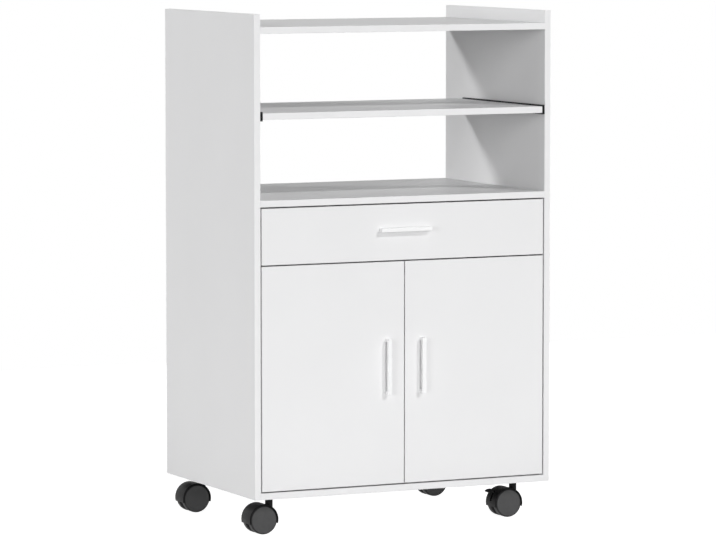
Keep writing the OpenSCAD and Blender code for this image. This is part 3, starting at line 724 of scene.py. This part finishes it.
def brake_slot():
    """What the brake lever, its pin and its cross bar need cut out of the hood."""
    behind = LEVER_ROOM - OVERLAP
    wide = [
        PIVOT + polar(PIVOT_ROOM - OVERLAP, 0), SHOE_MIDDLE + polar(SHOE_ROOM - OVERLAP, 0),
        SHOE_MIDDLE + polar(SHOE_ROOM + behind, 180), Vector((SLOT_BACK, PIVOT.y - SLOT_DOWN)),
        Vector((SLOT_BACK, PIVOT.y + SLOT_UP)), PIVOT + polar(PIVOT_ROOM - OVERLAP, 90),
    ]
    cuts = [(wide, SLOT_W), (disc(PIVOT, PIVOT_ROOM), SLOT_W + WIDER),
            (disc(SHOE_MIDDLE, SHOE_ROOM + LEVER_ROOM), SLOT_W + 2 * WIDER),
            (disc(PIVOT, BRAKE_PIN_R + PIN_ROOM), THROUGH),
            (disc(SHOE_MIDDLE, SHOE_ROOM), THROUGH + WIDER)]
    return [("DIFFERENCE", prism(outline, width)) for outline, width in cuts]


# The hood, in mm; HOOD_DROP is how far its shell reaches below the axle
HOOD_DROP = 7.0
HOOD_ROUND = 0.9
BOSS_R = 9.0
BOSS_OUT = 2.0
NECK_R = 7.0
NECK_FOOT = 1.0
NECK_ROUND = 0.6
KINGPIN_R = 4.08
KINGPIN_DOWN = 20.5
AXLE_GRIP = 0.06
BORE_HALF = 25
WHEEL_ROOM = 0.7
CAVITY_ROUND = 0.8
MOUTH = 0.3
JUST_PAST = 0.01
WELL_PAST = 2.0
# Half size of the block that trims the hood's underside
TRIM = Vector((40, 30, 40))


def make_hood(corner):
    """Middle wall, shell over both wheels, boss round the axle and neck round the swivel pin."""
    node = corner + "_caster_hood"
    axle, top_z, hood_r, half, wheel_r = caster_facts(corner)
    middle = Vector((0, 0, 0))
    stem = Vector((TRAIL * mm, 0, 0))
    top = (top_z - axle.z) / mm
    boss_half = CORE_HALF + BOSS_OUT
    cavity_r = wheel_r + WHEEL_ROOM
    mouth_r = cavity_r + MOUTH
    past = half + WELL_PAST
    cavity = [(0, CORE_HALF, 0), (cavity_r, CORE_HALF, CAVITY_ROUND), (cavity_r, half - MOUTH, 0),
              (mouth_r, half + JUST_PAST, 0), (mouth_r, past, 0), (0, past, 0)]
    pin = rod(KINGPIN_R, top - KINGPIN_DOWN, top + WELL_PAST)
    barrel = lathe(rod(hood_r, -half, half, HOOD_ROUND, HOOD_ROUND), WHEEL_STEPS, middle, "Y")
    under = box_mesh(-TRIM * mm, Vector((TRIM.x, TRIM.y, -HOOD_DROP)) * mm)
    boss = lathe(rod(BOSS_R, -boss_half, boss_half), BOSS_STEPS, middle, "Y")
    neck = lathe(rod(NECK_R, NECK_FOOT, top, 0, NECK_ROUND), NECK_STEPS, stem)
    bore = lathe(rod(AXLE_R - AXLE_GRIP, -BORE_HALF, BORE_HALF), BORE_STEPS, middle, "Y")
    steps = [("DIFFERENCE", under), ("UNION", boss), ("UNION", neck), ("DIFFERENCE", bore)]
    if corner in BRAKED:
        steps += brake_slot()
    for axis in ("Y", "-Y"):
        steps.append(("DIFFERENCE", lathe(cavity, WHEEL_STEPS, middle, axis)))
    steps.append(("DIFFERENCE", lathe(pin, BORE_STEPS, stem)))
    bm = carve(barrel, *steps)
    bmesh.ops.translate(bm, vec=axle, verts=bm.verts)
    set_shading(bm)
    new_piece(node + "_moulding", to_mesh(bm, node), node)


# The pedal and its lever, in mm and degrees round the axle
PEDAL_BACK = -38.0
PEDAL_TOP = 26.0
PEDAL_W = 12.0
PEDAL_T = 3.4
PEDAL_BEND_R = 14.0
PEDAL_ROOT_A = 70
PEDAL_TIP_A = 123
PEDAL_ROUND = 0.8
PEDAL_STEPS = 16
PEDAL_TIP_STEPS = 8
PEDAL_CORNER = Vector((PEDAL_BACK + PEDAL_T / 2, PEDAL_TOP - PEDAL_T / 2))
PEDAL_BEND = PEDAL_CORNER - PEDAL_BEND_R * Vector((polar(1, PEDAL_TIP_A).x, 1))
PEDAL_ROOT = PEDAL_BEND + polar(PEDAL_BEND_R, PEDAL_ROOT_A)
LEVER_W = 5.0
LEVER_R = 3.0
LEVER_T = 4.0
SHOE_WALL = 0.6
SHOE_HALF = 13.2
SHOE_ROUND = 0.3
PIN_SHORT = 1.4


def bar(start, end, width):
    """Corners of a straight bar between two points."""
    side = turned(end - start, 90).normalized() * width / 2
    return [start + side, start - side, end - side, end + side]


def rounded_prism(outline, width, rounding):
    """A prism with its rims rounded."""
    bm = prism(outline, width)
    rims = [e for e in bm.edges if abs(e.verts[0].co.y - e.verts[1].co.y) < WELD]
    bmesh.ops.bevel(bm, geom=rims, offset=rounding * mm, segments=3, profile=0.5, affect="EDGES",
                    clamp_overlap=True)
    return bm


def make_brake(corner):
    """Lever with an arched pedal, a cross bar at its foot and a pivot pin."""
    node = corner + "_brake"
    axle = caster_facts(corner)[0]
    arc = PEDAL_TIP_A - PEDAL_ROOT_A
    sweep = [PEDAL_ROOT_A + arc * k / PEDAL_STEPS for k in range(PEDAL_STEPS + 1)]
    outer = [PEDAL_BEND + polar(PEDAL_BEND_R + PEDAL_T / 2, a) for a in sweep]
    inner = [PEDAL_BEND + polar(PEDAL_BEND_R - PEDAL_T / 2, a) for a in reversed(sweep)]
    tip_middle = PEDAL_BEND + polar(PEDAL_BEND_R, PEDAL_TIP_A)
    tip = [tip_middle + polar(PEDAL_T / 2, PEDAL_TIP_A + 180 * k / PEDAL_TIP_STEPS)
           for k in range(1, PEDAL_TIP_STEPS)]
    steps = [("UNION", prism(outline, LEVER_W)) for outline in (
        disc(PIVOT, LEVER_R), disc(SHOE, SHOE_R + SHOE_WALL), bar(PIVOT, SHOE, LEVER_T),
        bar(PIVOT, PEDAL_ROOT, PEDAL_T))]
    steps.append(("UNION", prism(disc(PIVOT, BRAKE_PIN_R), 2 * CORE_HALF - PIN_SHORT)))
    steps.append(("UNION", rounded_prism(disc(SHOE, SHOE_R), 2 * SHOE_HALF, SHOE_ROUND)))
    bm = carve(rounded_prism(outer + tip + inner, PEDAL_W, PEDAL_ROUND), *steps)
    bmesh.ops.translate(bm, vec=axle, verts=bm.verts)
    set_shading(bm)
    new_piece(node + "_lever", to_mesh(bm, node), node)


for corner in CORNERS:
    for side in "ab":
        make_wheel(corner + "_wheel_" + side)
    make_hood(corner)
    if corner in BRAKED:
        make_brake(corner)

# ---------------------------------------------------------------- stage and light

FLOOR_SIZE = 5.0
FLOOR_WHITE = 0.5
GLOW = 0.94
WORLD_TOP = 0.02
WORLD_SIDE = 0.04

# Name; azimuth in degrees from straight in front, growing towards the cart's left; elevation;
# width as seen from the cart; level, the share of white that a facing white sheet would show
LIGHTS = (
    ("key", -30, 35, 4, 0.38),
    ("front", 0, 5, 18, 0.45),
    ("left", 90, 2, 10, 0.14),
    ("left_corner", 56, 6, 24, 0.27),
    ("back_left", 111, 17.3, 6, 0.33),
    ("right", -90, 2, 6, 0.52),
    ("back", 180, 2, 6, 0.42),
)
LAMP_AIM = Vector((0, 0, 0.5))
LAMP_DISTANCE = 4


def add_light(name, azimuth, elevation, width, level):
    """A far, soft lamp that lights the whole cart evenly and isn't mirrored in its boards."""
    data = bpy.data.lights.new(name, "SUN")
    data.angle = math.radians(width)
    data.energy = level * math.pi
    lamp = bpy.data.objects.new(name, data)
    a, e = math.radians(azimuth), math.radians(elevation)
    out = Vector((-math.sin(a) * math.cos(e), -math.cos(a) * math.cos(e), math.sin(e)))
    lamp.location = LAMP_AIM + out * LAMP_DISTANCE
    lamp.rotation_mode = "QUATERNION"
    lamp.rotation_quaternion = out.to_track_quat("Z", "Y")
    lamp.visible_glossy = False
    bpy.context.scene.collection.objects.link(lamp)


def seen_directly(tree):
    """1 on rays from the camera and on mirrored or refracted ones."""
    path = tree.nodes.new("ShaderNodeLightPath")
    total = path.outputs["Is Camera Ray"]
    for ray in ("Is Glossy Ray", "Is Transmission Ray"):
        add = tree.nodes.new("ShaderNodeMath")
        add.operation = "MAXIMUM"
        tree.links.new(total, add.inputs[0])
        tree.links.new(path.outputs[ray], add.inputs[1])
        total = add.outputs["Value"]
    return total


def make_floor():
    """White paper, which glows just enough to be white where it is seen."""
    mesh = bpy.data.meshes.new("floor")
    half = FLOOR_SIZE / 2
    corners = [(-half, -half, 0), (half, -half, 0), (half, half, 0), (-half, half, 0)]
    mesh.from_pydata(corners, [], [(0, 1, 2, 3)])
    floor = bpy.data.objects.new("floor", mesh)
    bpy.context.scene.collection.objects.link(floor)
    g = Graph("floor_paper")
    g.clouded(g.noise(40, 2), (FLOOR_WHITE,) * 3, (FLOOR_WHITE * 1.01,) * 3)
    g.set(Roughness=0.9, Specular_IOR_Level=0.0, Emission_Color=(1, 1, 1, 1))
    glow = g.math("MULTIPLY", seen_directly(g.tree), GLOW)
    g.link(glow, g.shader.inputs["Emission Strength"])
    mesh.materials.append(g.material)


def make_world():
    """White where it is seen; as light, dim overhead and a little brighter towards the sides."""
    world = bpy.data.worlds.new("studio")
    bpy.context.scene.world = world
    world.use_nodes = True
    tree = world.node_tree
    background = tree.nodes["Background"]
    background.inputs["Color"].default_value = (1, 1, 1, 1)
    where = tree.nodes.new("ShaderNodeTexCoord")
    split = tree.nodes.new("ShaderNodeSeparateXYZ")
    tree.links.new(where.outputs["Generated"], split.inputs["Vector"])
    height = tree.nodes.new("ShaderNodeMapRange")
    height.inputs["To Min"].default_value = WORLD_SIDE
    height.inputs["To Max"].default_value = WORLD_TOP
    tree.links.new(split.outputs["Z"], height.inputs["Value"])
    mix = tree.nodes.new("ShaderNodeMix")
    mix.inputs["B"].default_value = 1.0
    tree.links.new(seen_directly(tree), mix.inputs["Factor"])
    tree.links.new(height.outputs["Result"], mix.inputs["A"])
    tree.links.new(mix.outputs["Result"], background.inputs["Strength"])


make_floor()
make_world()
for lamp in LIGHTS:
    add_light(*lamp)

bpy.context.scene.view_settings.view_transform = "Standard"
